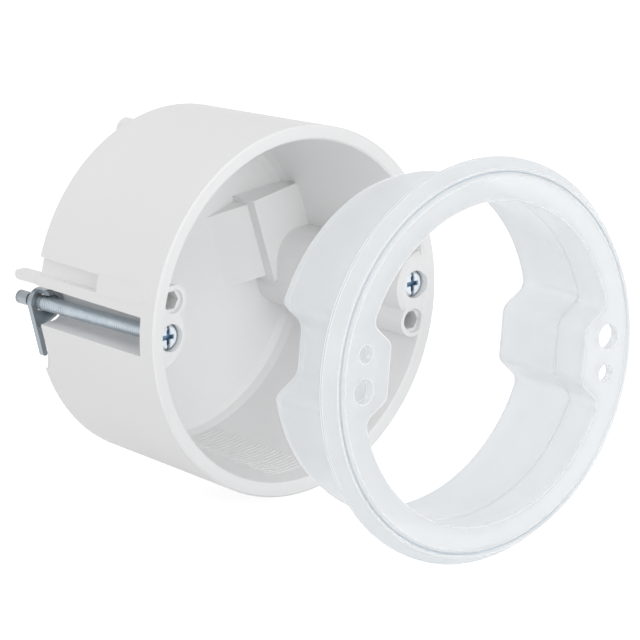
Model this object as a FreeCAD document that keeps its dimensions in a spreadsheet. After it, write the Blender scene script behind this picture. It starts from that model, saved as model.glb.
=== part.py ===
"""Round flush box for a hollow wall, with two claws on long screws and a clear extension ring.

Millimetres. The mouth of the box looks along -Y, +X is to the right seen from the front, +Z is up.
The origin is the centre of the rim's front face.
"""
import FreeCAD
import Part
import Sketcher
import math
import os

driving = {
    # cup
    "rim_radius": 34.5,
    "rim_width": 2.7,
    "outside_draft": 2.1,
    "rear_wall": 2.7,
    "box_depth": 35.0,
    "floor_thickness": 2.0,
    "rim_chamfer": 0.35,
    "floor_corner": 2.0,
    "floor_embed": 0.5,
    "overrun": 1.0,
    # claw screw and its seat in the box
    "claw_inset": 4.7,
    "screw_radius": 1.5,
    "screw_clearance": 0.08,
    "head_radius": 2.3,
    "head_clearance": 0.3,
    "head_gap": 0.05,
    "head_depth": 1.2,
    "head_height": 1.5,
    "head_bevel": 0.4,
    "slot_width": 0.6,
    "slot_depth": 0.7,
    "cross_width": 0.9,
    "cross_span": 2.8,
    "cross_depth": 1.0,
    "shank_overhang": 3.4,
    "neck_radius": 1.0,
    "neck_length": 0.8,
    "tip_radius": 1.3,
    "tip_length": 3.3,
    "tip_bevel": 0.4,
    # bosses round the claw screw and round the hexagonal hole
    "face_recess": 0.4,
    "boss_overlap": 0.2,
    "claw_boss_high_angle": 13.0,
    "claw_boss_low_angle": 10.8,
    "shoulder_depth": 0.7,
    "shoulder_taper": 45.0,
    "shoulder_turn": 1.0,
    "device_inset": 4.5,
    "device_angle": 13.0,
    "hex_across_flats": 3.2,
    "hex_depth": 11.5,
    "hex_wall": 1.4,
    "hex_lead": 0.65,
    "hex_recess": 0.9,
    # bulge over the wide rear part of the channel
    "bulge_front": 12.0,
    "bulge_inset": 8.7,
    "bulge_radius": 6.0,
    "bulge_high": 2.8,
    "bulge_low": 0.2,
    "bulge_cover": 0.9,
    "bulge_wall": 1.6,
    "bulge_core_cover": 2.8,
    # channel in the outside of the wall
    "channel_front": 4.0,
    "channel_clearance": 0.3,
    "channel_wall": 0.9,
    "channel_high": 3.85,
    "channel_flare": 0.6,
    "outside_clearance": 2.5,
    # notch in the rear edge for the stowed claw
    "notch_top": 3.0,
    "notch_lead": 1.4,
    "notch_depth": 2.6,
    "notch_low": 9.2,
    "notch_end": 12.1,
    "notch_corner": 2.8,
    "notch_reach": 2.9,
    # room for the claw's lip in the rear face
    "swing_clearance": 0.3,
    "swing_depth": 1.4,
    # tongue that stops the claw
    "tongue_width": 1.95,
    "tongue_thickness": 1.9,
    "tongue_length": 6.3,
    "tongue_root": 4.0,
    "tongue_inset": 0.15,
    # cored pocket beside the tongue
    "core_width": 3.2,
    "core_front": 17.6,
    "core_depth": 0.9,
    # entry hood on the floor, about a line at its own angle
    "hood_angle": 18.0,
    "hood_inset": 12.4,
    "ramp_length": 6.9,
    "hood_half_width": 8.5,
    "hood_side_slope": 0.23,
    "ramp_half_width": 7.45,
    "ramp_height": 3.8,
    "hood_height": 5.9,
    "hood_fall": 0.173,
    "hood_trim": 1.4,
    "hood_wall": 1.6,
    "hood_core_inset": 3.1,
    # stubs on the rear edge
    "stub_angle": 73.7,
    "stub_radius": 2.2,
    "stub_inset": 2.3,
    "stub_length": 2.4,
    # claw
    "claw_gap": 1.0,
    "claw_thickness": 1.1,
    "claw_eye_radius": 2.75,
    "claw_bore_clearance": 0.08,
    "claw_tip_drop": 9.65,
    "claw_tip_offset": 0.65,
    "claw_tip_radius": 0.55,
    "claw_elbow_drop": 4.9,
    "claw_elbow_offset": 0.2,
    "claw_wing_angle": 33.0,
    "claw_lip_height": 2.7,
    "claw_lip_wall": 0.8,
    "claw_lip_start_angle": 110.0,
    "claw_lip_slope_drop": 1.5,
    # clear ring
    "ring_distance": 48.5,
    "ring_overlap": 2.75,
    "ring_edge_thickness": 0.6,
    "ring_band": 1.7,
    "ring_ridge_height": 2.5,
    "ring_groove_inset": 0.65,
    "ring_groove_height": 2.1,
    "ring_land_inset": 1.3,
    "ring_face_height": 2.9,
    "ring_web": 1.1,
    "ring_clearance": 0.3,
    "ring_wall": 1.7,
    "ring_skirt_wall": 1.0,
    "ring_step": 4.6,
    "ring_skirt_length": 19.9,
    "ring_lead": 0.6,
    "ring_lead_length": 2.0,
    "indent_angle": 6.3,
    "indent_depth": 6.0,
    "indent_half_flat": 4.4,
    "indent_ramp_angle": 53.0,
    "indent_round": 2.2,
    "ring_large_hole": 2.3,
    "ring_small_hole": 1.65,
}

doc = FreeCAD.newDocument("switch_box")
sheet = doc.addObject("Spreadsheet::Sheet", "Sizes")
for row, (name, number) in enumerate(driving.items(), start=1):
    sheet.set(f"A{row}", name)
    sheet.set(f"B{row}", str(number))
    sheet.setAlias(f"B{row}", name)
doc.recompute()


class Size:
    """A number that also keeps the expression which binds it to the sheet."""

    def __init__(self, number, text):
        self.number = float(number)
        self.text = text

    def __add__(self, other):
        other = plain(other)
        return Size(self.number + other.number, f"({self.text} + {other.text})")

    def __sub__(self, other):
        other = plain(other)
        return Size(self.number - other.number, f"({self.text} - {other.text})")

    def __mul__(self, other):
        other = plain(other)
        return Size(self.number * other.number, f"({self.text} * {other.text})")

    def __truediv__(self, other):
        other = plain(other)
        return Size(self.number / other.number, f"({self.text} / {other.text})")

    def __neg__(self):
        return Size(-self.number, f"(0 - {self.text})")


def plain(value):
    if isinstance(value, Size):
        return value
    return Size(value, repr(float(value)))


def size(name):
    return Size(driving[name], f"Sizes.{name}")


def cosine(angle):
    return Size(math.cos(math.radians(angle.number)), f"cos({angle.text} * 1 deg)")


def sine(angle):
    return Size(math.sin(math.radians(angle.number)), f"sin({angle.text} * 1 deg)")


def root(value):
    return Size(math.sqrt(value.number), f"sqrt({value.text})")


def chord_height(radius, offset):
    """Distance along one axis to a circle's edge at the given offset along the other."""
    return root(radius * radius - offset * offset)


def bind(target, prop, value):
    target.setExpression(prop, value.text)


def new_body(name):
    body = doc.addObject("PartDesign::Body", name)
    body.Label = name
    return body


def origin_feature(body, role):
    for feature in body.Origin.OriginFeatures:
        if feature.Role == role:
            return feature
    raise ValueError(role)


def new_sketch(body, name, role, offset=None, turn=None):
    """Sketch on an origin plane, moved along the plane's normal and turned about the box's axis."""
    sketch = body.newObject("Sketcher::SketchObject", name)
    sketch.AttachmentSupport = [(origin_feature(body, role), "")]
    sketch.MapMode = "FlatFace"
    place = FreeCAD.Placement()
    if offset is not None:
        place.Base = FreeCAD.Vector(0, 0, offset.number)
    if turn is not None:
        axis = FreeCAD.Vector(0, 0, -1) if role == "XZ_Plane" else FreeCAD.Vector(0, 1, 0)
        place.Rotation = FreeCAD.Rotation(axis, turn.number)
    sketch.AttachmentOffset = place
    if offset is not None:
        bind(sketch, ".AttachmentOffset.Base.z", offset)
    if turn is not None:
        bind(sketch, ".AttachmentOffset.Rotation.Angle", turn)
    return sketch


def pin_point(sketch, geometry, position, point):
    """Hold one point of the sketch at sheet-bound coordinates."""
    for kind, value in (("DistanceX", point[0]), ("DistanceY", point[1])):
        value = plain(value)
        index = sketch.addConstraint(Sketcher.Constraint(kind, geometry, position, value.number))
        bind(sketch, f"Constraints[{index}]", value)


def arc_between(start, end, radius, bend, major):
    """Arc of a circle through two points. bend is +1 to turn left on the way, -1 to turn right."""
    chord = end - start
    half = chord.Length / 2
    side = FreeCAD.Vector(-chord.y, chord.x, 0).normalize()
    rise = math.sqrt(max(radius * radius - half * half, 0.0))
    sign = bend * (-1 if major else 1)
    centre = start + chord / 2 + side * (rise * sign)
    circle = Part.Circle(centre, FreeCAD.Vector(0, 0, 1), radius)
    first = math.atan2(start.y - centre.y, start.x - centre.x)
    last = math.atan2(end.y - centre.y, end.x - centre.x)
    if bend > 0:
        return Part.ArcOfCircle(circle, first, last), 1, 2
    return Part.ArcOfCircle(circle, last, first), 2, 1


def pin_half_circle(sketch, geometry, start, end):
    """Hold the centre of a half circle level with its ends, where a radius would not hold it."""
    level = (plain(start[1]) + plain(end[1])) / 2
    kind = "DistanceY"
    if abs(plain(start[1]).number - plain(end[1]).number) > 1e-6:
        level = (plain(start[0]) + plain(end[0])) / 2
        kind = "DistanceX"
    number = sketch.addConstraint(Sketcher.Constraint(kind, geometry, 3, level.number))
    bind(sketch, f"Constraints[{number}]", level)


def outline(sketch, steps):
    """Closed outline. Each step is (point) for a line to it, or (point, radius, bend[, major])."""
    points = [FreeCAD.Vector(plain(s[0][0]).number, plain(s[0][1]).number, 0) for s in steps]
    edges = []
    for index, step in enumerate(steps):
        start = points[index - 1]
        end = points[index]
        if len(step) == 1:
            geometry = sketch.addGeometry(Part.LineSegment(start, end))
            edges.append((geometry, 1, 2))
        else:
            major = len(step) > 3 and step[3]
            arc, first, last = arc_between(start, end, step[1].number, step[2], major)
            geometry = sketch.addGeometry(arc)
            edges.append((geometry, first, last))
    for index, step in enumerate(steps):
        geometry, first, last = edges[index]
        following = edges[(index + 1) % len(edges)]
        sketch.addConstraint(Sketcher.Constraint(
            "Coincident", geometry, last, following[0], following[1]))
        pin_point(sketch, geometry, last, step[0])
        if len(step) > 1:
            chord = points[index] - points[index - 1]
            if abs(chord.Length - step[1].number * 2) < 1e-6:
                pin_half_circle(sketch, geometry, steps[index - 1][0], step[0])
            else:
                number = sketch.addConstraint(
                    Sketcher.Constraint("Radius", geometry, step[1].number))
                bind(sketch, f"Constraints[{number}]", step[1])


def circle(sketch, centre, radius):
    middle = FreeCAD.Vector(plain(centre[0]).number, plain(centre[1]).number, 0)
    geometry = sketch.addGeometry(Part.Circle(middle, FreeCAD.Vector(0, 0, 1), radius.number))
    pin_point(sketch, geometry, 3, centre)
    number = sketch.addConstraint(Sketcher.Constraint("Radius", geometry, radius.number))
    bind(sketch, f"Constraints[{number}]", radius)


def extrude(body, kind, name, sketch, length, reverse=False, both_ways=False):
    feature = body.newObject(f"PartDesign::{kind}", name)
    feature.Profile = sketch
    feature.Length = length.number
    bind(feature, "Length", length)
    feature.Reversed = reverse
    feature.Midplane = both_ways
    sketch.Visibility = False
    doc.recompute()
    return feature


def pad(body, name, sketch, length, reverse=False):
    return extrude(body, "Pad", name, sketch, length, reverse)


def pocket(body, name, sketch, length, reverse=False, both_ways=False):
    """Pocket whose direction is checked: it has to take material away."""
    before = body.Shape.Volume
    feature = extrude(body, "Pocket", name, sketch, length, reverse, both_ways)
    if body.Shape.Volume > before - 1e-6:
        raise ValueError(f"{name} cuts nothing")
    return feature


def revolve(body, name, sketch):
    feature = body.newObject("PartDesign::Revolution", name)
    feature.Profile = sketch
    feature.ReferenceAxis = (sketch, ["V_Axis"])
    feature.Angle = 360.0
    sketch.Visibility = False
    doc.recompute()
    return feature


def half_turn(body, name, features):
    """Repeat features on the other side, half a turn about the box's own axis."""
    pattern = body.newObject("PartDesign::PolarPattern", name)
    pattern.Originals = features
    pattern.Axis = (origin_feature(body, "Y_Axis"), [""])
    pattern.Angle = 360.0
    pattern.Occurrences = 2
    body.Tip = pattern
    doc.recompute()
    return pattern


# Seen along the box's axis a sketch on the XZ plane has X to the right and Z up, and its normal
# is -Y, so a depth behind the rim face is a negative offset. The left side is modelled and then
# repeated half a turn on.
def at_angle(radius, degrees):
    """Point on the left side, at an angle above the level of the screws."""
    return (-(radius * cosine(degrees)), radius * sine(degrees))


def arc_radius(half_chord, height):
    return (half_chord * half_chord + height * height) / (height * 2)


mouth_radius = size("rim_radius") - size("rim_width")
rear_radius = size("rim_radius") - size("outside_draft")
floor_radius = rear_radius - size("rear_wall")
outside_reach = size("rim_radius") + size("outside_clearance")
screw_axis = size("rim_radius") - size("claw_inset")
floor_depth = size("box_depth") - size("floor_thickness")
overrun = size("overrun")
past_rear = size("box_depth") + overrun
channel_deep = size("claw_eye_radius") + size("channel_clearance")
device_pitch = size("rim_radius") - size("device_inset")
device_place = at_angle(device_pitch, size("device_angle"))
hood_ridge = floor_radius - size("hood_inset")
screw_bore = size("screw_radius") + size("screw_clearance")
head_bore = size("head_radius") + size("head_clearance")


def build_hood(body):
    """Ramp and block over a cable entry, made first and trimmed to the wall that then covers it."""
    root = floor_depth + size("floor_embed")
    ridge = hood_ridge
    reach = size("rim_radius")
    half = size("hood_half_width")
    top = floor_depth - size("hood_height")
    far_half = half - (reach - ridge) * size("hood_side_slope")
    sketch = new_sketch(body, "hood_outline", "XZ_Plane", -root, -size("hood_angle"))
    outline(sketch, [
        ((ridge, -half),),
        ((reach, -far_half),),
        ((reach, far_half),),
        ((ridge, half),),
    ])
    pad(body, "hood_block", sketch, root - top)

    # The block falls towards the wall.
    sketch = new_sketch(body, "hood_fall_section", "XY_Plane", None, -size("hood_angle"))
    outline(sketch, [
        ((ridge, top),),
        ((ridge, top - overrun),),
        ((reach + overrun, top - overrun),),
        ((reach + overrun, top + size("hood_fall") * (reach + overrun - ridge)),),
    ])
    pocket(body, "hood_slope", sketch, half * 3, False, True)

    sketch = new_sketch(body, "ramp_section", "XY_Plane", None, -size("hood_angle"))
    outline(sketch, [
        ((ridge - size("ramp_length"), root),),
        ((ridge - size("ramp_length"), floor_depth),),
        ((ridge, floor_depth - size("ramp_height")),),
        ((ridge + overrun, floor_depth - size("ramp_height")),),
        ((ridge + overrun, root),),
    ])
    extrude(body, "Pad", "ramp", sketch, size("ramp_half_width") * 2, False, True)

    trim = rear_radius - size("hood_trim")
    outside = reach + half * 2
    sketch = new_sketch(body, "hood_trim_section", "XY_Plane")
    outline(sketch, [
        ((trim, top - overrun),),
        ((trim, root + overrun),),
        ((outside, root + overrun),),
        ((outside, top - overrun),),
    ])
    before = body.Shape.Volume
    groove = body.newObject("PartDesign::Groove", "hood_trim")
    groove.Profile = sketch
    groove.ReferenceAxis = (sketch, ["V_Axis"])
    groove.Angle = 360.0
    sketch.Visibility = False
    doc.recompute()
    if body.Shape.Volume > before - 1e-6:
        raise ValueError("hood_trim cuts nothing")


def build_cup(body):
    depth = size("box_depth")
    chamfer = size("rim_chamfer")
    corner = size("floor_corner")
    # The round corner of the floor is drawn as two straight runs that meet half way.
    middle = plain(45)
    slope = (mouth_radius - floor_radius) / floor_depth
    floor_edge = floor_radius - corner
    sketch = new_sketch(body, "cup_section", "XY_Plane")
    outline(sketch, [
        ((0, depth),),
        ((0, floor_depth),),
        ((floor_edge, floor_depth),),
        ((floor_edge + corner * sine(middle), floor_depth - corner + corner * cosine(middle)),),
        ((floor_radius + slope * corner, floor_depth - corner),),
        ((mouth_radius, chamfer),),
        ((mouth_radius + chamfer, 0),),
        ((size("rim_radius") - chamfer, 0),),
        ((size("rim_radius"), chamfer),),
        ((rear_radius, depth),),
    ])
    revolve(body, "cup", sketch)


def bulge_steps(radius, wall_radius):
    """Outline of the bulge: two round corners inside, and the round wall outside."""
    top = size("bulge_high") + radius
    low = -(size("bulge_low") + radius)
    centre = size("rim_radius") - size("bulge_inset")
    return [
        ((-chord_height(wall_radius, low), low),),
        ((-chord_height(wall_radius, top), top), wall_radius, -1),
        ((-centre, top),),
        ((radius - centre, size("bulge_high")), radius, -1),
        ((radius - centre, -size("bulge_low")),),
        ((-centre, low), radius, -1),
    ]


def build_bosses(body):
    root = floor_depth + size("floor_embed")
    face = size("face_recess")
    wall = mouth_radius + size("boss_overlap")
    shoulder = size("shoulder_depth")
    high = size("claw_boss_high_angle")
    low = size("claw_boss_low_angle")
    half_angle = (high + low) / 2

    # The boss bulges inward just far enough to leave the wall behind the channel.
    height = wall * cosine(half_angle) - (screw_axis - channel_deep - size("channel_wall"))
    radius = arc_radius(wall * sine(half_angle), height)
    sketch = new_sketch(body, "claw_boss_outline", "XZ_Plane", -root)
    outline(sketch, [
        (at_angle(wall, high), wall, -1),
        (at_angle(wall, -low), radius, -1),
    ])
    claw_boss = pad(body, "claw_boss", sketch, root - face - shoulder)

    turn = size("shoulder_turn")
    face_angle = half_angle - turn
    face_radius = arc_radius(wall * sine(face_angle), height - shoulder)
    sketch = new_sketch(body, "claw_face_outline", "XZ_Plane", -face)
    outline(sketch, [
        (at_angle(wall, high - turn), wall, -1),
        (at_angle(wall, turn - low), face_radius, -1),
    ])
    claw_face = pad(body, "claw_face", sketch, shoulder, True)
    claw_face.TaperAngle = size("shoulder_taper").number
    bind(claw_face, "TaperAngle", size("shoulder_taper"))
    doc.recompute()

    sketch = new_sketch(body, "bulge_outline", "XZ_Plane", -root)
    outline(sketch, bulge_steps(size("bulge_radius"), rear_radius - size("bulge_cover")))
    bulge = pad(body, "bulge", sketch, root - size("bulge_front"))

    # The bulge is cored from the rear at an even wall, and the channel keeps its own lining.
    core_front = size("bulge_front") + size("bulge_wall")
    core_radius = size("bulge_radius") - size("bulge_wall")
    sketch = new_sketch(body, "bulge_core_outline", "XZ_Plane", -core_front)
    outline(sketch, bulge_steps(core_radius, rear_radius - size("bulge_core_cover")))
    bulge_core = pocket(body, "bulge_core", sketch, past_rear - core_front)

    # The boss of the hexagonal hole is added after the core, so that the hole stays blind.
    hex_radius = size("hex_across_flats") / 2 + size("hex_wall")
    hex_root = face + size("hex_depth") + size("hex_wall")
    sketch = new_sketch(body, "hex_boss_outline", "XZ_Plane", -hex_root)
    circle(sketch, device_place, hex_radius)
    hex_boss = pad(body, "hex_boss", sketch, hex_root - face)

    lining = channel_deep + size("channel_wall")
    edge = lining + size("channel_flare")
    sketch = new_sketch(body, "lining_outline", "XZ_Plane", -size("box_depth"))
    outline(sketch, [
        ((-chord_height(rear_radius - size("bulge_cover"), edge), edge),),
        ((-screw_axis, lining),),
        ((-screw_axis, -lining), lining, -1),
        ((-chord_height(rear_radius - size("bulge_cover"), edge), -edge),),
    ])
    channel_lining = pad(body, "channel_lining", sketch, size("box_depth") - size("bulge_front"))
    return [claw_boss, claw_face, bulge, bulge_core, hex_boss, channel_lining]


hexagon_sides = 6


def build_front_holes(body):
    sketch = new_sketch(body, "head_seat_outline", "XZ_Plane")
    circle(sketch, (-screw_axis, 0), head_bore)
    seat = size("head_depth") + size("head_height") + size("head_gap")
    head_seat = pocket(body, "head_seat", sketch, seat)

    sketch = new_sketch(body, "screw_hole_outline", "XZ_Plane")
    circle(sketch, (-screw_axis, 0), screw_bore)
    screw_hole = pocket(body, "screw_hole", sketch, size("channel_front") + overrun)

    # Lead-in of the hexagonal hole, kept inside the mouth.
    lead_radius = size("hex_across_flats") / 2 + size("hex_lead")
    along = (device_pitch * device_pitch + mouth_radius * mouth_radius
             - lead_radius * lead_radius) / (device_pitch * 2)
    across = root(mouth_radius * mouth_radius - along * along)
    turn = size("device_angle")
    sketch = new_sketch(body, "hex_face_outline", "XZ_Plane")
    outline(sketch, [
        ((-(along * cosine(turn)) - across * sine(turn), along * sine(turn) - across * cosine(turn)),
         mouth_radius, 1),
        ((across * sine(turn) - along * cosine(turn), along * sine(turn) + across * cosine(turn)),
         lead_radius, 1, True),
    ])
    hex_depth = size("face_recess") + size("hex_recess")
    hex_face = pocket(body, "hex_face", sketch, hex_depth)

    corner = size("hex_across_flats") / math.sqrt(3)
    corners = []
    for index in range(hexagon_sides):
        angle = math.radians(360 / hexagon_sides * index)
        corners.append(((device_place[0] + corner * math.cos(angle),
                         device_place[1] + corner * math.sin(angle)),))
    sketch = new_sketch(body, "hex_hole_outline", "XZ_Plane")
    outline(sketch, corners)
    hex_hole = pocket(body, "hex_hole", sketch, size("face_recess") + size("hex_depth"))
    return [head_seat, screw_hole, hex_face, hex_hole]


def build_channel(body):
    reach = outside_reach
    high = size("channel_high")

    # Slot for screw and claw, open to the outside and to the rear, with flared sides.
    sketch = new_sketch(body, "channel_outline", "XZ_Plane", -size("channel_front"))
    outline(sketch, [
        ((-rear_radius, high),),
        ((-screw_axis, channel_deep),),
        ((-screw_axis, -channel_deep), channel_deep, -1),
        ((-reach, -(channel_deep + size("channel_flare"))),),
        ((-reach, high),),
    ])
    channel = pocket(body, "channel", sketch, past_rear - size("channel_front"))

    # Pocket beside the tongue, cored from the rear to a floor parallel to the axis.
    low = high + size("tongue_width")
    top = low + size("core_width")
    floor = rear_radius - size("core_depth")
    sketch = new_sketch(body, "side_core_outline", "XZ_Plane", -size("core_front"))
    outline(sketch, [
        ((-chord_height(floor, low), low),),
        ((-chord_height(floor, top), top), floor, -1),
        ((-reach, top),),
        ((-reach, low),),
    ])
    side_core = pocket(body, "side_core", sketch, past_rear - size("core_front"))

    # Notch that lets the stowed claw swing past the rear edge.
    depth = size("box_depth")
    sketch = new_sketch(body, "notch_outline", "YZ_Plane", -reach)
    outline(sketch, [
        ((past_rear, -size("notch_end")),),
        ((past_rear, -size("notch_top")),),
        ((depth - size("notch_lead"), -size("notch_top")),),
        ((depth - size("notch_depth"), -size("notch_low")),),
        ((depth, -size("notch_end")), size("notch_corner"), 1),
    ])
    depth_in = reach - rear_radius + size("notch_reach")
    notch = pocket(body, "notch", sketch, depth_in, True)

    # Shallow half disc in the rear face, where the lip of the claw swings.
    radius = size("claw_elbow_drop") + size("swing_clearance")
    sketch = new_sketch(body, "swing_outline", "XZ_Plane", -(depth - size("swing_depth")))
    outline(sketch, [
        ((radius - screw_axis, 0),),
        ((-(screw_axis + radius), 0), radius, -1),
    ])
    swing_room = pocket(body, "swing_room", sketch, size("swing_depth") + overrun)
    return [channel, side_core, notch, swing_room]


def build_tongue(body):
    low = size("channel_high")
    width = size("tongue_width")
    outer = chord_height(rear_radius, low + width / 2) - size("tongue_inset")
    start = size("box_depth") - size("tongue_root")
    end = size("box_depth") + size("tongue_length") - width / 2
    sketch = new_sketch(body, "tongue_outline", "YZ_Plane", -outer)
    outline(sketch, [
        ((start, low),),
        ((end, low),),
        ((end, low + width), width / 2, 1),
        ((start, low + width),),
    ])
    return [pad(body, "tongue", sketch, size("tongue_thickness"))]


def build_stub(body):
    sketch = new_sketch(body, "stub_outline", "XZ_Plane", -floor_depth)
    pitch = rear_radius - size("stub_inset")
    circle(sketch, at_angle(pitch, size("stub_angle")), size("stub_radius"))
    length = size("floor_thickness") + size("stub_length")
    return [pad(body, "stub", sketch, length, True)]


def build_hood_core(body):
    """Recess in the rear of the hood, at an even wall."""
    wall = size("hood_wall")
    near = hood_ridge + wall
    far = floor_radius - size("hood_core_inset")
    near_half = size("hood_half_width") - wall * (plain(1) + size("hood_side_slope"))
    far_half = near_half - (far - near) * size("hood_side_slope")
    fall = (far - hood_ridge) * size("hood_fall")
    front = floor_depth - size("hood_height") + fall + wall
    sketch = new_sketch(body, "hood_core_outline", "XZ_Plane", -front, -size("hood_angle"))
    outline(sketch, [
        ((near, -near_half),),
        ((far, -far_half),),
        ((far, far_half),),
        ((near, near_half),),
    ])
    pocket(body, "hood_core", sketch, past_rear - front)


def build_box():
    body = new_body("box_body")
    build_hood(body)
    build_cup(body)
    build_hood_core(body)
    added = build_bosses(body) + build_tongue(body) + build_stub(body)
    cut = build_front_holes(body) + build_channel(body)
    half_turn(body, "other_side", added + cut)
    return body


def place(body, x, y, turned):
    rotation = FreeCAD.Rotation(FreeCAD.Vector(0, 1, 0), 180 if turned else 0)
    body.Placement = FreeCAD.Placement(FreeCAD.Vector(x.number, y.number, 0), rotation)
    bind(body, ".Placement.Base.x", x)
    bind(body, ".Placement.Base.y", y)


def build_screw(name, side):
    """Claw screw about its own axis: head in front, shank, neck and the upset tip."""
    body = new_body(name)
    top = size("head_depth")
    seat = top + size("head_height")
    bevel = size("head_bevel")
    neck_start = size("box_depth") + size("shank_overhang")
    neck_end = neck_start + size("neck_length")
    tip_end = neck_end + size("tip_length")
    sketch = new_sketch(body, "screw_section_" + name, "XY_Plane")
    outline(sketch, [
        ((0, tip_end),),
        ((0, top),),
        ((size("head_radius") - bevel, top),),
        ((size("head_radius"), top + bevel),),
        ((size("head_radius"), seat),),
        ((size("screw_radius"), seat),),
        ((size("screw_radius"), neck_start),),
        ((size("neck_radius"), neck_start),),
        ((size("neck_radius"), neck_end),),
        ((size("tip_radius"), neck_end),),
        ((size("tip_radius"), tip_end - size("tip_bevel")),),
        ((size("tip_radius") - size("tip_bevel"), tip_end),),
    ])
    revolve(body, "turned_" + name, sketch)

    half_slot = size("slot_width") / 2
    across = size("head_radius") + overrun
    sketch = new_sketch(body, "slot_outline_" + name, "XZ_Plane", -top)
    outline(sketch, [
        ((-half_slot, -across),),
        ((half_slot, -across),),
        ((half_slot, across),),
        ((-half_slot, across),),
    ])
    pocket(body, "slot_" + name, sketch, size("slot_depth"))

    half_span = size("cross_span") / 2
    half_width = size("cross_width") / 2
    sketch = new_sketch(body, "cross_outline_" + name, "XZ_Plane", -top)
    outline(sketch, [
        ((half_span, -half_width),),
        ((half_span, half_width),),
        ((half_width, half_width),),
        ((half_width, half_span),),
        ((-half_width, half_span),),
        ((-half_width, half_width),),
        ((-half_span, half_width),),
        ((-half_span, -half_width),),
        ((-half_width, -half_width),),
        ((-half_width, -half_span),),
        ((half_width, -half_span),),
        ((half_width, -half_width),),
    ])
    pocket(body, "cross_" + name, sketch, size("cross_depth"))
    place(body, screw_axis * side, plain(0), False)
    return body


def build_claw(name, side):
    """Sheet claw: a plate with an eye and a leg, and a lip bent forward along its inner edge."""
    body = new_body(name)
    eye = size("claw_eye_radius")
    tip = size("claw_tip_radius")
    drop = -size("claw_tip_drop")
    offset = size("claw_tip_offset")
    elbow = (-size("claw_elbow_offset"), -size("claw_elbow_drop"))
    wing_angle = size("claw_wing_angle")
    wing = (eye * cosine(wing_angle), -(eye * sine(wing_angle)))
    sketch = new_sketch(body, "plate_outline_" + name, "XZ_Plane")
    outline(sketch, [
        ((-eye, 0), eye, 1, True),
        ((offset - tip, drop),),
        ((offset + tip, drop), tip, 1),
        (elbow,),
        (wing,),
    ])
    pad(body, "plate_" + name, sketch, size("claw_thickness"), True)

    wall = size("claw_lip_wall")
    start = size("claw_lip_start_angle")
    inner = eye - wall
    run_x = wing[0] - elbow[0]
    run_z = wing[1] - elbow[1]
    run = root(run_x * run_x + run_z * run_z)
    inner_elbow = (elbow[0] - wall * run_z / run, elbow[1] + wall * run_x / run)
    inner_wing = (inner * cosine(wing_angle), -(inner * sine(wing_angle)))
    sketch = new_sketch(body, "lip_outline_" + name, "XZ_Plane")
    outline(sketch, [
        ((eye * cosine(start), eye * sine(start)),),
        (wing, eye, -1),
        (elbow,),
        (inner_elbow,),
        (inner_wing,),
        ((inner * cosine(start), inner * sine(start)), inner, 1),
    ])
    pad(body, "lip_" + name, sketch, size("claw_lip_height"))

    # The lip runs out in a slope towards the elbow.
    height = size("claw_lip_height")
    past = -(size("claw_elbow_drop") + wall)
    sketch = new_sketch(body, "slope_outline_" + name, "YZ_Plane", -(eye + overrun))
    outline(sketch, [
        ((0, past),),
        ((0, elbow[1]),),
        ((-height, -size("claw_lip_slope_drop")),),
        ((-(height + overrun), -size("claw_lip_slope_drop")),),
        ((-(height + overrun), past),),
    ])
    pocket(body, "slope_" + name, sketch, (eye + overrun) * 2, True)

    sketch = new_sketch(body, "bore_outline_" + name, "XZ_Plane")
    circle(sketch, (0, 0), size("screw_radius") + size("claw_bore_clearance"))
    pocket(body, "bore_" + name, sketch, size("claw_thickness") + overrun)
    place(body, screw_axis * side, size("box_depth") + size("claw_gap"), side > 0)
    return body


def indented_outline(sketch, radius, distance, half_flat):
    """Round outline with a flat-bottomed dent on each side, about a tilted level."""
    tilt = size("indent_angle")
    ramp = size("indent_ramp_angle")
    start = distance * sine(ramp) + half_flat * cosine(ramp)
    run = root(start * start + radius * radius - distance * distance
               - half_flat * half_flat) - start
    mouth = distance + run * sine(ramp)
    half_mouth = half_flat + run * cosine(ramp)

    def point(side, out, along):
        x = along * sine(tilt) - out * cosine(tilt)
        z = out * sine(tilt) + along * cosine(tilt)
        return (x * side, z * side)

    steps = []
    for side in (1, -1):
        steps += [
            (point(side, mouth, -half_mouth), radius, -1),
            (point(side, distance, -half_flat),),
            (point(side, distance, half_flat),),
            (point(side, mouth, half_mouth),),
        ]
    outline(sketch, steps)


def dent_corners(shape, radius, distance, half_flat):
    """Names of the edges along the axis at the corners of the dents."""
    reaches = (radius.number, math.hypot(distance.number, half_flat.number))
    names = []
    for index, edge in enumerate(shape.Edges, start=1):
        if not isinstance(edge.Curve, Part.Line):
            continue
        if abs(edge.tangentAt(edge.FirstParameter).y) < 0.999:
            continue
        point = edge.Vertexes[0].Point
        reach = math.hypot(point.x, point.z)
        if min(abs(reach - known) for known in reaches) < 1e-3:
            names.append(f"Edge{index}")
    return names


def outer_end_edges(shape, depth):
    """Names of the edges round the end face at the given depth."""
    names = []
    for index, edge in enumerate(shape.Edges, start=1):
        box = edge.BoundBox
        if abs(box.YMin - depth) < 1e-4 and abs(box.YMax - depth) < 1e-4:
            names.append(f"Edge{index}")
    return names


def dress(body, kind, name, base, edges, prop, value):
    feature = body.newObject(f"PartDesign::{kind}", name)
    feature.Base = (base, edges)
    setattr(feature, prop, value.number)
    bind(feature, prop, value)
    doc.recompute()
    return feature


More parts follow.
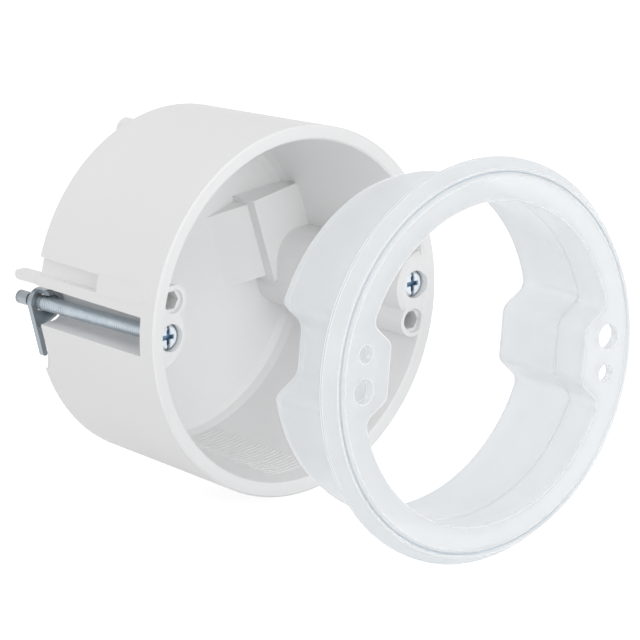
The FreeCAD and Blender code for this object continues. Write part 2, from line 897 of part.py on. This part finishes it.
def build_ring():
    """Clear ring: a bent flange in front, and a skirt dented past the bosses of the box."""
    body = new_body("extension_ring")
    skirt = mouth_radius - size("ring_clearance")
    distance = skirt - size("indent_depth")
    half_flat = size("indent_half_flat")
    corner_round = size("indent_round")
    length = size("ring_skirt_length")
    web = size("ring_web")
    face = size("ring_face_height")
    front = size("ring_groove_height") - web
    sketch = new_sketch(body, "skirt_outline", "XZ_Plane", front)
    indented_outline(sketch, skirt, distance, half_flat)
    plain_skirt = pad(body, "skirt", sketch, front + length, True)
    corners = dent_corners(body.Shape, skirt, distance, half_flat)
    rounded = dress(body, "Fillet", "skirt_rounds", plain_skirt, corners, "Radius", corner_round)
    end_edges = outer_end_edges(body.Shape, length.number)
    along = size("ring_lead_length")
    lead = dress(body, "Chamfer", "skirt_lead", rounded, end_edges, "Size", along)
    lead.ChamferType = "Two distances"
    lead.Size2 = size("ring_lead").number
    bind(lead, "Size2", size("ring_lead"))

    # The flange is a sheet: a steep band from the edge, a ridge, a groove and a flat land.
    inner = distance - size("ring_wall") - web
    edge = size("rim_radius") + size("ring_overlap")
    ridge = edge - size("ring_band")
    sketch = new_sketch(body, "flange_section", "XY_Plane")
    outline(sketch, [
        ((inner, -front),),
        ((inner, -face),),
        ((ridge - size("ring_land_inset"), -face),),
        ((ridge - size("ring_groove_inset"), -size("ring_groove_height")),),
        ((ridge, -size("ring_ridge_height")),),
        ((edge, 0),),
        ((edge, size("ring_edge_thickness")),),
        ((edge - web, size("ring_edge_thickness")),),
        ((ridge - web, -front),),
    ])
    revolve(body, "flange", sketch)

    # The bore follows the skirt, with a thinner wall behind a step.
    step = size("ring_step")
    bore_round(body, "bore", size("ring_wall"), -face, length + overrun)
    bore_round(body, "rear_bore", size("ring_skirt_wall"), step, length + overrun)

    sketch = new_sketch(body, "ring_holes", "XZ_Plane", face)
    for side in (1, -1):
        circle(sketch, (-screw_axis * side, 0), size("ring_large_hole"))
        circle(sketch, (device_place[0] * side, device_place[1] * side), size("ring_small_hole"))
    pocket(body, "pad_holes", sketch, face - front)
    place(body, plain(0), -size("ring_distance"), False)
    return body


def bore_round(body, name, wall, start, end):
    """Bore of the ring at an even wall inside the skirt, with rounded corners."""
    ramp = size("indent_ramp_angle")
    radius = mouth_radius - size("ring_clearance") - wall
    distance = radius - size("indent_depth")
    half_flat = size("indent_half_flat") + wall * (plain(1) - cosine(ramp)) / sine(ramp)
    sketch = new_sketch(body, name + "_outline", "XZ_Plane", -start)
    indented_outline(sketch, radius, distance, half_flat)
    bore = pocket(body, name, sketch, end - start)
    corners = dent_corners(body.Shape, radius, distance, half_flat)
    dress(body, "Fillet", name + "_rounds", bore, corners, "Radius", size("indent_round"))


def check(bodies):
    for item in doc.Objects:
        if "Invalid" in item.State or "Error" in item.State:
            raise ValueError(f"{item.Name} failed")
    for body in bodies:
        if body.Shape.isNull() or not body.Shape.isValid():
            raise ValueError(f"{body.Label} has no valid shape")


pieces = [
    build_box(),
    build_screw("claw_screw_left", -1),
    build_screw("claw_screw_right", 1),
    build_claw("claw_left", -1),
    build_claw("claw_right", 1),
    build_ring(),
]
doc.recompute()
check(pieces)
os.makedirs("parts", exist_ok=True)
for piece in pieces:
    piece.Shape.exportStep(f"parts/{piece.Label}.step")
    box = piece.Shape.BoundBox
    print(piece.Label, round(piece.Shape.Volume, 1), len(piece.Shape.Solids), box)
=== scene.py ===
import bpy
import bmesh
import math
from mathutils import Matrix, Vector


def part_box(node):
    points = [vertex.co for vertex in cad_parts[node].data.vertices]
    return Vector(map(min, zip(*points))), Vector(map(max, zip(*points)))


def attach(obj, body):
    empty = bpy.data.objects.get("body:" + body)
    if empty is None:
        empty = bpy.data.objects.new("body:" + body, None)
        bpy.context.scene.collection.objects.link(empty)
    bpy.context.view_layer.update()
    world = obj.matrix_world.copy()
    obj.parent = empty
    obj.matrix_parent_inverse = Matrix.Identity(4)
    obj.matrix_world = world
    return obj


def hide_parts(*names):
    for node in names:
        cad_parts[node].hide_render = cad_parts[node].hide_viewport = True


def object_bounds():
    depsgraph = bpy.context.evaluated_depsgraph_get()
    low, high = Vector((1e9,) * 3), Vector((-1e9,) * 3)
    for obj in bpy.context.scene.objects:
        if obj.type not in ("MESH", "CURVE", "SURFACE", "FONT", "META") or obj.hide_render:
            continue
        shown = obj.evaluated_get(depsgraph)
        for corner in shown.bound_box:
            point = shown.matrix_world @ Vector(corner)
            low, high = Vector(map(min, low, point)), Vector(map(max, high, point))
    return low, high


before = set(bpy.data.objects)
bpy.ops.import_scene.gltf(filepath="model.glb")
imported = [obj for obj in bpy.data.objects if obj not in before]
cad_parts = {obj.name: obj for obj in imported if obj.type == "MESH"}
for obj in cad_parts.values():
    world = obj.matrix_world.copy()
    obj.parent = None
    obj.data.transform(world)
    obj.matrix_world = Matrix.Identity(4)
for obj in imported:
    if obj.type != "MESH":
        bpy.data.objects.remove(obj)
cadBox = [list(corner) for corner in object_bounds()]
scene = bpy.context.scene
mm = 0.001


# small helpers for node trees

# inputs are set by socket name, other values as properties of the node
def addNode(tree, kind, inputs=None, **values):
    node = tree.nodes.new(kind)
    for name, value in values.items():
        setattr(node, name, value)
    for name, value in (inputs or {}).items():
        node.inputs[name].default_value = value
    return node


def newMaterial(name):
    material = bpy.data.materials.new(name)
    material.use_nodes = True
    tree = material.node_tree
    tree.nodes.clear()
    output = addNode(tree, "ShaderNodeOutputMaterial")
    place = addNode(tree, "ShaderNodeTexCoord")
    return material, tree, output, place.outputs["Object"]


def noise(tree, place, scale, detail=2.0):
    texture = addNode(tree, "ShaderNodeTexNoise", {"Scale": scale, "Detail": detail})
    tree.links.new(place, texture.inputs["Vector"])
    return texture.outputs["Fac"]


# maps a 0 to 1 factor to a range
def spread(tree, factor, low, high):
    mapped = addNode(tree, "ShaderNodeMapRange", {"To Min": low, "To Max": high})
    tree.links.new(factor, mapped.inputs["Value"])
    return mapped.outputs["Result"]


# Mix nodes keep their colours in these sockets.
firstColour, secondColour, mixedColour = 6, 7, 2


# blends two colours, the first of which may be a socket
def blendColours(tree, factor, first, second):
    mixed = addNode(tree, "ShaderNodeMix", data_type="RGBA")
    tree.links.new(factor, mixed.inputs["Factor"])
    if isinstance(first, tuple):
        mixed.inputs[firstColour].default_value = (*first, 1)
    else:
        tree.links.new(first, mixed.inputs[firstColour])
    mixed.inputs[secondColour].default_value = (*second, 1)
    return mixed.outputs[mixedColour]


def bump(tree, height, distance):
    node = addNode(tree, "ShaderNodeBump", {"Strength": 1.0, "Distance": distance})
    tree.links.new(height, node.inputs["Height"])
    return node.outputs["Normal"]


# mixes two shaders by a fixed share or by a socket
def mixShaders(tree, factor, first, second):
    mixed = addNode(tree, "ShaderNodeMixShader")
    if isinstance(factor, float):
        mixed.inputs[0].default_value = factor
    else:
        tree.links.new(factor, mixed.inputs[0])
    tree.links.new(first, mixed.inputs[1])
    tree.links.new(second, mixed.inputs[2])
    return mixed.outputs[0]


# one step of arithmetic on sockets or plain numbers
def calculate(tree, kind, *values):
    node = addNode(tree, "ShaderNodeMath", operation=kind)
    for index, value in enumerate(values):
        if isinstance(value, (int, float)):
            node.inputs[index].default_value = value
        else:
            tree.links.new(value, node.inputs[index])
    return node.outputs[0]


def splitPlace(tree, place):
    axes = addNode(tree, "ShaderNodeSeparateXYZ")
    tree.links.new(place, axes.inputs[0])
    return axes.outputs


# white moulded plastic

whiteLook = {
    "colour": (0.91, 0.91, 0.91),
    "shade": (0.885, 0.885, 0.89),
    "cloudScale": 45.0,
    "grainScale": 2600.0,
    "grainHeight": 0.000012,
    "roughLow": 0.42,
    "roughHigh": 0.55,
    "gloss": 0.35,
}


def makeWhitePlastic(look):
    material, tree, output, place = newMaterial("whitePlastic")
    shader = addNode(tree, "ShaderNodeBsdfPrincipled", {"Specular IOR Level": look["gloss"]})
    cloud = noise(tree, place, look["cloudScale"])
    grain = noise(tree, place, look["grainScale"], 3.0)
    tree.links.new(blendColours(tree, cloud, look["shade"], look["colour"]), shader.inputs["Base Color"])
    tree.links.new(spread(tree, grain, look["roughLow"], look["roughHigh"]), shader.inputs["Roughness"])
    tree.links.new(bump(tree, grain, look["grainHeight"]), shader.inputs["Normal"])
    tree.links.new(shader.outputs[0], output.inputs["Surface"])
    return material


# clear moulded plastic with much milk in it; its edges get a painted highlight, and a painted shade line
# runs in the groove

clearLook = {
    "milk": (0.95, 0.962, 0.97),
    "glow": (0.955, 0.967, 0.977),
    "glowShare": 0.45,
    "edge": (1.0, 1.0, 1.0),
    "groove": (0.40, 0.48, 0.56),
    "glass": (0.885, 0.91, 0.93),
    "veil": (0.885, 0.91, 0.93),
    "milkShare": 0.60,
    "milkSpread": 0.04,
    "milkRough": 0.3,
    "veilShare": 0.40,
    "waveScale": 90.0,
    "waveHeight": 0.00004,
    "roughLow": 0.05,
    "roughHigh": 0.14,
    "ior": 1.38,
    "edgeRadius": 0.5 * mm,
    "edgeStart": 0.003,
    "edgeEnd": 0.016,
    "edgeSamples": 8,
    "grooveRadius": 34.9 * mm,
    "grooveWidth": 0.22 * mm,
    "grooveDepth": -50.0 * mm,
}


# 1 along sharp edges, where the normal of a rounded copy leaves the face's own; there the edges get a
# painted highlight
def edgeMask(tree, look):
    rounded = addNode(tree, "ShaderNodeBevel", {"Radius": look["edgeRadius"]}, samples=look["edgeSamples"])
    face = addNode(tree, "ShaderNodeNewGeometry")
    match = addNode(tree, "ShaderNodeVectorMath", operation="DOT_PRODUCT")
    tree.links.new(rounded.outputs[0], match.inputs[0])
    tree.links.new(face.outputs["Normal"], match.inputs[1])
    away = calculate(tree, "SUBTRACT", 1.0, match.outputs["Value"])
    mapped = addNode(tree, "ShaderNodeMapRange", {
        "From Min": look["edgeStart"], "From Max": look["edgeEnd"]})
    tree.links.new(away, mapped.inputs["Value"])
    return mapped.outputs["Result"]


# 1 in the bottom of the groove that runs round the front of the flange, where a dark line is painted as
# shade
def grooveMask(tree, place, look):
    axes = splitPlace(tree, place)
    squares = calculate(tree, "ADD", calculate(tree, "POWER", axes["X"], 2.0),
                        calculate(tree, "POWER", axes["Z"], 2.0))
    radius = calculate(tree, "SQRT", squares)
    off = calculate(tree, "ABSOLUTE", calculate(tree, "SUBTRACT", radius, look["grooveRadius"]))
    mapped = addNode(tree, "ShaderNodeMapRange", {
        "From Min": look["grooveWidth"] / 2, "From Max": look["grooveWidth"],
        "To Min": 1.0, "To Max": 0.0})
    tree.links.new(off, mapped.inputs["Value"])
    front = calculate(tree, "LESS_THAN", axes["Y"], look["grooveDepth"])
    return calculate(tree, "MULTIPLY", mapped.outputs["Result"], front)


def makeClearPlastic(look):
    material, tree, output, place = newMaterial("clearPlastic")
    wave = noise(tree, place, look["waveScale"], 1.0)
    normal = bump(tree, wave, look["waveHeight"])
    rough = spread(tree, wave, look["roughLow"], look["roughHigh"])
    glass = addNode(tree, "ShaderNodeBsdfPrincipled", {
        "Base Color": (*look["glass"], 1), "Transmission Weight": 1.0, "IOR": look["ior"]})
    tree.links.new(rough, glass.inputs["Roughness"])
    tree.links.new(normal, glass.inputs["Normal"])
    veil = addNode(tree, "ShaderNodeBsdfTransparent", {"Color": (*look["veil"], 1)})
    clear = mixShaders(tree, look["veilShare"], glass.outputs[0], veil.outputs[0])
    milk = addNode(tree, "ShaderNodeBsdfPrincipled", {"Roughness": look["milkRough"]})
    # painted highlight: the milk turns white along sharp edges, standing for the light that real edges catch
    edge = edgeMask(tree, look)
    highlighted = blendColours(tree, edge, look["milk"], look["edge"])
    # painted shade: a dark line in the bottom of the groove on the flange's front
    colour = blendColours(tree, grooveMask(tree, place, look), highlighted, look["groove"])
    tree.links.new(colour, milk.inputs["Base Color"])
    tree.links.new(normal, milk.inputs["Normal"])
    glow = addNode(tree, "ShaderNodeBsdfTranslucent", {"Color": (*look["glow"], 1)})
    milky = mixShaders(tree, look["glowShare"], milk.outputs[0], glow.outputs[0])
    middle, reach = look["milkShare"], look["milkSpread"]
    # the painted edge highlight also makes the plastic fully milky along the edges
    share = calculate(tree, "MAXIMUM", spread(tree, wave, middle - reach, middle + reach), edge)
    tree.links.new(mixShaders(tree, share, clear, milky), output.inputs["Surface"])
    return material


# zinc-plated steel

zincLook = {
    "colour": (0.47, 0.51, 0.545),
    "shade": (0.33, 0.37, 0.40),
    "metal": 0.88,
    "cloudScale": 420.0,
    "grainScale": 3800.0,
    "grainHeight": 0.00001,
    "roughLow": 0.22,
    "roughHigh": 0.42,
    "headHighlight": (0.86, 0.93, 0.98),
    "headHighlightMetal": 0.2,
    "headHighlightRough": 0.35,
    "headHighlightDepth": 1.62 * mm,
    "slotShade": (0.20, 0.31, 0.42),
    "slotDepth": 3.0 * mm,
    "tip": (0.34, 0.38, 0.41),
    "tipDepth": 35.2 * mm,
}
# The two copies of the zinc differ by painted light: the screws' copy is lighter as a painted highlight, the
# claws' darker colour is painted shade for the dark surroundings they reflect.
screwLook = dict(zincLook, colour=(0.70, 0.77, 0.82), shade=(0.50, 0.57, 0.63))


# Cloudy metal with painted shade at a screw's tip and in the slots of its head, and a whiter painted
# highlight on the head's front.
def makeZinc(name, look):
    material, tree, output, place = newMaterial(name)
    shader = addNode(tree, "ShaderNodeBsdfPrincipled", {"Metallic": look["metal"]})
    cloud = noise(tree, place, look["cloudScale"], 3.0)
    grain = noise(tree, place, look["grainScale"], 2.0)
    normal = bump(tree, grain, look["grainHeight"])
    depth = splitPlace(tree, place)["Y"]
    clouded = blendColours(tree, cloud, look["shade"], look["colour"])
    # painted shade: behind tipDepth the zinc is darker, standing for the dark surroundings it reflects
    behind = calculate(tree, "GREATER_THAN", depth, look["tipDepth"])
    tipped = blendColours(tree, behind, clouded, look["tip"])
    # painted shade: in front of slotDepth the zinc is darker, standing for the shade in the slots of the
    # head
    deep = calculate(tree, "LESS_THAN", depth, look["slotDepth"])
    slotShaded = blendColours(tree, deep, tipped, look["slotShade"])
    tree.links.new(slotShaded, shader.inputs["Base Color"])
    tree.links.new(spread(tree, cloud, look["roughLow"], look["roughHigh"]), shader.inputs["Roughness"])
    tree.links.new(normal, shader.inputs["Normal"])
    # painted highlight: the front of the screw head gets a whiter, less metallic shader that stands for the
    # bright glints on it
    headHighlight = addNode(tree, "ShaderNodeBsdfPrincipled", {
        "Base Color": (*look["headHighlight"], 1), "Metallic": look["headHighlightMetal"], "Roughness": look["headHighlightRough"]})
    tree.links.new(normal, headHighlight.inputs["Normal"])
    front = calculate(tree, "LESS_THAN", depth, look["headHighlightDepth"])
    tree.links.new(mixShaders(tree, front, shader.outputs[0], headHighlight.outputs[0]), output.inputs["Surface"])
    return material


whitePlastic = makeWhitePlastic(whiteLook)
clearPlastic = makeClearPlastic(clearLook)
clawZinc = makeZinc("clawZinc", zincLook)
screwZinc = makeZinc("screwZinc", screwLook)


def dress(node, material):
    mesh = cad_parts[node].data
    mesh.materials.clear()
    mesh.materials.append(material)


dress("box_body", whitePlastic)
dress("extension_ring", clearPlastic)
dress("claw_left", clawZinc)
dress("claw_right", clawZinc)
dress("claw_screw_left", screwZinc)
dress("claw_screw_right", screwZinc)
print("materials made")


# helpers for geometry node trees

# geometry node tree with named number inputs, each a pair of socket type and value
def newTree(name, numbers, material):
    tree = bpy.data.node_groups.new(name, "GeometryNodeTree")
    tree.interface.new_socket("Geometry", in_out="INPUT", socket_type="NodeSocketGeometry")
    for label, (kind, value) in numbers.items():
        socket = tree.interface.new_socket(label, in_out="INPUT", socket_type="NodeSocket" + kind)
        socket.default_value = value
    tree.interface.new_socket("Geometry", in_out="OUTPUT", socket_type="NodeSocketGeometry")
    start = addNode(tree, "NodeGroupInput")
    end = addNode(tree, "NodeGroupOutput")
    real = addNode(tree, "GeometryNodeRealizeInstances")
    paint = addNode(tree, "GeometryNodeSetMaterial", {"Material": material})
    tree.links.new(real.outputs[0], paint.inputs["Geometry"])
    tree.links.new(paint.outputs[0], end.inputs[0])
    return tree, start.outputs, real.inputs[0]


# mesh that a tree makes from the given inputs
def growMesh(tree, values):
    holder = bpy.data.objects.new(tree.name, bpy.data.meshes.new(tree.name))
    scene.collection.objects.link(holder)
    modifier = holder.modifiers.new("grow", "NODES")
    modifier.node_group = tree
    for item in tree.interface.items_tree:
        if item.in_out == "INPUT" and item.name in values:
            modifier[item.identifier] = values[item.name]
    bpy.context.view_layer.update()
    graph = bpy.context.evaluated_depsgraph_get()
    mesh = bpy.data.meshes.new_from_object(holder.evaluated_get(graph))
    holder.modifiers.remove(modifier)
    bpy.data.objects.remove(holder)
    return mesh


# one plain mesh from several, riding a body and standing for a node if one is named
def newPiece(name, bodyName, parts, material, node=None):
    shape = bmesh.new()
    for part in parts:
        shape.from_mesh(part)
    mesh = bpy.data.meshes.new(name)
    shape.to_mesh(mesh)
    shape.free()
    mesh.materials.clear()
    mesh.materials.append(material)
    piece = bpy.data.objects.new(name, mesh)
    scene.collection.objects.link(piece)
    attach(piece, bodyName)
    if node:
        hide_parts(node)
    return piece


# threads of the claw screws

threadLook = {
    "pitch": 0.5 * mm,
    "crest": 1.5 * mm,
    "root": 1.22 * mm,
    "buried": 0.08 * mm,
    "steps": 20,
    "runOut": 0.35 * mm,
    "shankMatch": 0.02 * mm,
    "weld": 0.002 * mm,
}


def makeThreadTree(material):
    tree, given, joined = newTree("threadTree", {
        "Turns": ("Float", 60.0), "Pitch": ("Float", 0.0005), "Radius": ("Float", 0.0013),
        "Ridge": ("Float", 0.0002), "Steps": ("Int", 20), "Across": ("Float", 0.0),
        "Along": ("Float", 0.0)}, material)
    spiral = addNode(tree, "GeometryNodeCurveSpiral")
    tree.links.new(given["Steps"], spiral.inputs["Resolution"])
    tree.links.new(given["Turns"], spiral.inputs["Rotations"])
    tree.links.new(given["Radius"], spiral.inputs["Start Radius"])
    tree.links.new(given["Radius"], spiral.inputs["End Radius"])
    tree.links.new(calculate(tree, "MULTIPLY", given["Turns"], given["Pitch"]), spiral.inputs["Height"])
    upright = addNode(tree, "GeometryNodeSetCurveNormal")
    upright.mode = "Z_UP"
    tree.links.new(spiral.outputs[0], upright.inputs["Curve"])
    profile = addNode(tree, "GeometryNodeCurvePrimitiveCircle", {"Resolution": 3})
    tree.links.new(given["Ridge"], profile.inputs["Radius"])
    swept = addNode(tree, "GeometryNodeCurveToMesh", {"Fill Caps": True})
    tree.links.new(upright.outputs[0], swept.inputs["Curve"])
    tree.links.new(profile.outputs[0], swept.inputs["Profile Curve"])
    shift = addNode(tree, "ShaderNodeCombineXYZ")
    tree.links.new(given["Across"], shift.inputs["X"])
    tree.links.new(given["Along"], shift.inputs["Y"])
    turned = addNode(tree, "GeometryNodeTransform", {"Rotation": (-math.pi / 2, 0.0, 0.0)})
    tree.links.new(swept.outputs[0], turned.inputs["Geometry"])
    tree.links.new(shift.outputs[0], turned.inputs["Translation"])
    tree.links.new(turned.outputs[0], joined)
    return tree


# the screw of the frame with its shank turned down to the root, and the thread on it
def makeScrew(side, look, tree, material):
    node = "claw_screw_" + side
    low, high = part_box(node)
    across = (low[0] + high[0]) / 2
    core = bmesh.new()
    core.from_mesh(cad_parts[node].data)
    bmesh.ops.remove_doubles(core, verts=core.verts[:], dist=look["weld"])
    shank = [vert for vert in core.verts
             if abs(math.hypot(vert.co.x - across, vert.co.z) - look["crest"]) < look["shankMatch"]]
    first = min(vert.co.y for vert in shank)
    last = max(vert.co.y for vert in shank)
    for vert in shank:
        vert.co.x = across + (vert.co.x - across) * look["root"] / look["crest"]
        vert.co.z = vert.co.z * look["root"] / look["crest"]
    coreMesh = bpy.data.meshes.new(node)
    core.to_mesh(coreMesh)
    core.free()
    # The ridge is a three-sided sweep whose crest is twice as far from its middle as its foot.
    ridge = (look["crest"] - look["root"] + look["buried"]) * 2 / 3
    thread = growMesh(tree, {
        "Turns": (last - first - look["runOut"] * 2) / look["pitch"],
        "Pitch": look["pitch"],
        "Radius": look["crest"] - ridge,
        "Ridge": ridge,
        "Steps": look["steps"],
        "Across": across,
        "Along": first + look["runOut"],
    })
    return newPiece("threadedScrew_" + side, "screw_" + side, [coreMesh, thread], material, node)


threadTree = makeThreadTree(screwZinc)
makeScrew("left", threadLook, threadTree, screwZinc)
makeScrew("right", threadLook, threadTree, screwZinc)
print("screws made")


# fine ridges on the inside of the wall, at the bottom

gripLook = {
    "count": 24,
    "first": 5.3 * mm,
    "last": 29.6 * mm,
    "mouth": 31.8 * mm,
    "floor": 29.7 * mm,
    "floorDepth": 33.0 * mm,
    "middle": -85.0,
    "spread": 17.0,
    "ridge": 0.16 * mm,
    "steps": 18,
}


def makeGripTree(material):
    tree, given, joined = newTree("gripTree", {
        "Count": ("Int", 24), "First": ("Float", 0.005), "Step": ("Float", 0.001),
        "Radius": ("Float", 0.03), "Shrink": ("Float", 0.0), "Start": ("Float", 0.0),
        "Sweep": ("Float", 0.3), "Ridge": ("Float", 0.0001), "Steps": ("Int", 16)}, material)
    arc = addNode(tree, "GeometryNodeCurveArc")
    tree.links.new(given["Steps"], arc.inputs["Resolution"])
    tree.links.new(given["Radius"], arc.inputs["Radius"])
    tree.links.new(given["Start"], arc.inputs["Start Angle"])
    tree.links.new(given["Sweep"], arc.inputs["Sweep Angle"])
    upright = addNode(tree, "GeometryNodeSetCurveNormal")
    upright.mode = "Z_UP"
    tree.links.new(arc.outputs[0], upright.inputs["Curve"])
    profile = addNode(tree, "GeometryNodeCurvePrimitiveCircle", {"Resolution": 4})
    tree.links.new(given["Ridge"], profile.inputs["Radius"])
    swept = addNode(tree, "GeometryNodeCurveToMesh", {"Fill Caps": True})
    tree.links.new(upright.outputs[0], swept.inputs["Curve"])
    tree.links.new(profile.outputs[0], swept.inputs["Profile Curve"])
    stood = addNode(tree, "GeometryNodeTransform", {"Rotation": (math.pi / 2, 0.0, 0.0)})
    tree.links.new(swept.outputs[0], stood.inputs["Geometry"])
    line = addNode(tree, "GeometryNodeMeshLine")
    tree.links.new(given["Count"], line.inputs["Count"])
    start = addNode(tree, "ShaderNodeCombineXYZ")
    tree.links.new(given["First"], start.inputs["Y"])
    tree.links.new(start.outputs[0], line.inputs["Start Location"])
    step = addNode(tree, "ShaderNodeCombineXYZ")
    tree.links.new(given["Step"], step.inputs["Y"])
    tree.links.new(step.outputs[0], line.inputs["Offset"])
    index = addNode(tree, "GeometryNodeInputIndex")
    along = calculate(tree, "MULTIPLY", index.outputs[0], given["Step"])
    scaled = calculate(tree, "SUBTRACT", 1.0, calculate(tree, "MULTIPLY", along, given["Shrink"]))
    size = addNode(tree, "ShaderNodeCombineXYZ", {"Y": 1.0})
    tree.links.new(scaled, size.inputs["X"])
    tree.links.new(scaled, size.inputs["Z"])
    placed = addNode(tree, "GeometryNodeInstanceOnPoints")
    tree.links.new(line.outputs[0], placed.inputs["Points"])
    tree.links.new(stood.outputs[0], placed.inputs["Instance"])
    tree.links.new(size.outputs[0], placed.inputs["Scale"])
    tree.links.new(placed.outputs[0], joined)
    return tree


def makeGrip(look):
    slope = (look["mouth"] - look["floor"]) / look["floorDepth"]
    radius = look["mouth"] - slope * look["first"]
    mesh = growMesh(makeGripTree(whitePlastic), {
        "Count": look["count"],
        "First": look["first"],
        "Step": (look["last"] - look["first"]) / (look["count"] - 1),
        "Radius": radius,
        "Shrink": slope / radius,
        "Start": math.radians(look["middle"] - look["spread"] / 2),
        "Sweep": math.radians(look["spread"]),
        "Ridge": look["ridge"],
        "Steps": look["steps"],
    })
    return newPiece("gripRidges", "box", [mesh], whitePlastic)


makeGrip(gripLook)
print("ridges made")


# raised witness line round the end of the side pocket's insert, on the outside of the wall

witnessLook = {
    "rim": 34.5 * mm,
    "draft": 0.06,
    "angle": 12.9,
    "half": 1.8 * mm,
    "back": 17.6 * mm,
    "front": 5.4 * mm,
    "line": 0.07 * mm,
    "steps": 12,
}


# straight runs with a round front end, laid on the cone of the wall on both sides
def makeWitness(look):
    run = [(look["back"], look["half"])]
    for index in range(look["steps"] + 1):
        turn = math.pi * index / look["steps"]
        run.append((look["front"] - look["half"] * math.sin(turn), look["half"] * math.cos(turn)))
    run.append((look["back"], -look["half"]))
    curve = bpy.data.curves.new("witness", "CURVE")
    curve.dimensions = "3D"
    curve.bevel_depth = look["line"]
    curve.bevel_resolution = 1
    curve.use_fill_caps = True
    for side in (1, -1):
        spline = curve.splines.new("POLY")
        spline.points.add(len(run) - 1)
        for point, (depth, across) in zip(spline.points, run):
            radius = look["rim"] - look["draft"] * depth
            angle = math.radians(look["angle"]) + across / radius
            point.co = (-side * radius * math.cos(angle), depth, side * radius * math.sin(angle), 1)
    holder = bpy.data.objects.new("witness", curve)
    scene.collection.objects.link(holder)
    graph = bpy.context.evaluated_depsgraph_get()
    mesh = bpy.data.meshes.new_from_object(holder.evaluated_get(graph))
    bpy.data.objects.remove(holder)
    return newPiece("witnessLines", "box", [mesh], whitePlastic)


makeWitness(witnessLook)
print("witness lines made")


# floor, world, lights and camera

floorLook = {"half": 8.0, "gap": 0.0004, "colour": 0.80, "lift": 0.68, "bounce": 0.03}


# 1 for rays that show a surface to the camera, straight, mirrored or through plastic
def seenRays(tree):
    rays = addNode(tree, "ShaderNodeLightPath").outputs
    straight = calculate(tree, "MAXIMUM", rays["Is Camera Ray"], rays["Is Transmission Ray"])
    return calculate(tree, "MAXIMUM", straight, rays["Is Glossy Ray"])


mesh = bpy.data.meshes.new("floor")
half = floorLook["half"]
level = cadBox[0][2] - floorLook["gap"]
mesh.from_pydata(
    [(-half, -half, level), (half, -half, level), (half, half, level), (-half, half, level)],
    [], [(0, 1, 2, 3)])
floor = bpy.data.objects.new("floor", mesh)
scene.collection.objects.link(floor)

material, tree, output, place = newMaterial("floorPaint")
grey = floorLook["colour"]
diffuse = addNode(tree, "ShaderNodeBsdfDiffuse", {"Color": (grey, grey, grey, 1)})
glow = addNode(tree, "ShaderNodeEmission", {"Color": (1, 1, 1, 1)})
strength = spread(tree, seenRays(tree), floorLook["bounce"], floorLook["lift"])
tree.links.new(strength, glow.inputs["Strength"])
total = addNode(tree, "ShaderNodeAddShader")
tree.links.new(diffuse.outputs[0], total.inputs[0])
tree.links.new(glow.outputs[0], total.inputs[1])
tree.links.new(total.outputs[0], output.inputs["Surface"])
mesh.materials.append(material)

worldLook = {"level": 0.71, "seen": 1.0}
world = bpy.data.worlds.new("studio")
world.use_nodes = True
scene.world = world
tree = world.node_tree
tree.nodes.clear()
output = addNode(tree, "ShaderNodeOutputWorld")
back = addNode(tree, "ShaderNodeBackground", {"Color": (1, 1, 1, 1)})
strength = spread(tree, seenRays(tree), worldLook["level"], worldLook["seen"])
tree.links.new(strength, back.inputs["Strength"])
tree.links.new(back.outputs[0], output.inputs["Surface"])

lampLook = [
    {"name": "keyLamp", "place": (-0.15, -1.35, 0.18), "width": 0.8, "power": 6.6},
    {"name": "fillLamp", "place": (-1.2, -0.4, 0.14), "width": 0.5, "power": 1.4},
    {"name": "topLamp", "place": (-0.1, 0.1, 1.3), "width": 0.9, "power": 1.3},
]
for lamp in lampLook:
    data = bpy.data.lights.new(lamp["name"], "AREA")
    data.size = lamp["width"]
    data.energy = lamp["power"]
    light = bpy.data.objects.new(lamp["name"], data)
    scene.collection.objects.link(light)
    light.location = lamp["place"]
    light.rotation_euler = (-Vector(lamp["place"])).to_track_quat("-Z", "Y").to_euler()
print("lights made")

cameraLook = {
    "azimuth": -41.93,
    "elevation": 14.24,
    "distance": 2.5,
    "lens": 773.0,
    "sensor": 36.0,
    "near": 0.1,
    "far": 100.0,
    "right": 0.004384,
    "down": 0.001528,
}
turn = math.radians(cameraLook["azimuth"])
rise = math.radians(cameraLook["elevation"])
backward = Vector((math.sin(turn) * math.cos(rise), -math.cos(turn) * math.cos(rise), math.sin(rise)))
right = Vector((math.cos(turn), math.sin(turn), 0))
up = backward.cross(right)
target = right * cameraLook["right"] - up * cameraLook["down"]
camera = bpy.data.objects.new("camera", bpy.data.cameras.new("camera"))
scene.collection.objects.link(camera)
camera.data.sensor_width = cameraLook["sensor"]
camera.data.lens = cameraLook["lens"]
camera.data.clip_start = cameraLook["near"]
camera.data.clip_end = cameraLook["far"]
camera.location = target + backward * cameraLook["distance"]
camera.rotation_euler = (-backward).to_track_quat("-Z", "Y").to_euler()
scene.camera = camera
scene.view_settings.view_transform = "Standard"
print("camera made")
